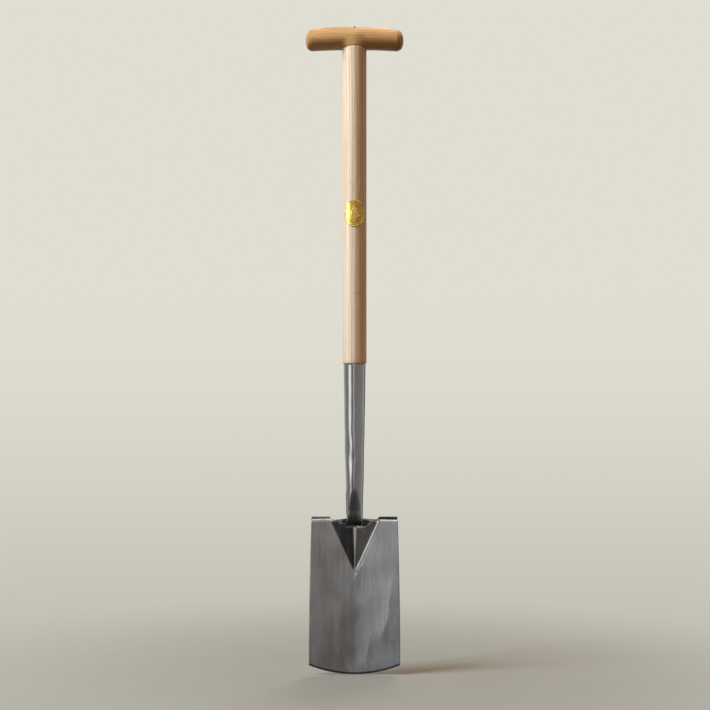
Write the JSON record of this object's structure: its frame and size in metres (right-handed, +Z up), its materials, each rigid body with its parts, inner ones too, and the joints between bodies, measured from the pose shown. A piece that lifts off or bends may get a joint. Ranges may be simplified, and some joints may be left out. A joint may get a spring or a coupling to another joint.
{
  "type": "garden spade",
  "caption": "Upright garden spade with a dished steel blade, folded foot treads, a tapered socket, a round wooden shaft and a wooden T grip.",
  "frame": {"origin": "on the shaft's axis, level with the lowest point of the cutting edge, under the middle of the overall box", "axes": "+Z up along the shaft to the grip, +X to the right across the blade and along the grip, -Y the way the blade's dished front faces"},
  "size_m": [0.1656, 0.0428, 1.0926],
  "materials": {
    "blade_steel": "satin, hand-ground stainless steel with fine streaks",
    "socket_steel": "polished stainless steel",
    "shaft_wood": "lightly oiled straight-grained ash",
    "grip_wood": "satin lacquered cherry",
    "wedge_wood": "dark hardwood end grain",
    "badge_brass": "embossed brass, darker in its hollows"
  },
  "bodies": {
    "root": {"blade": "blade_steel", "socket": "socket_steel", "socket_weld": "socket_steel", "socket_rivet": "socket_steel", "shaft": "shaft_wood", "t_grip": "grip_wood", "grip_wedge": "wedge_wood", "badge": "badge_brass", "badge_pin_left": "badge_brass", "badge_pin_right": "badge_brass"}
  },
  "joints": []
}
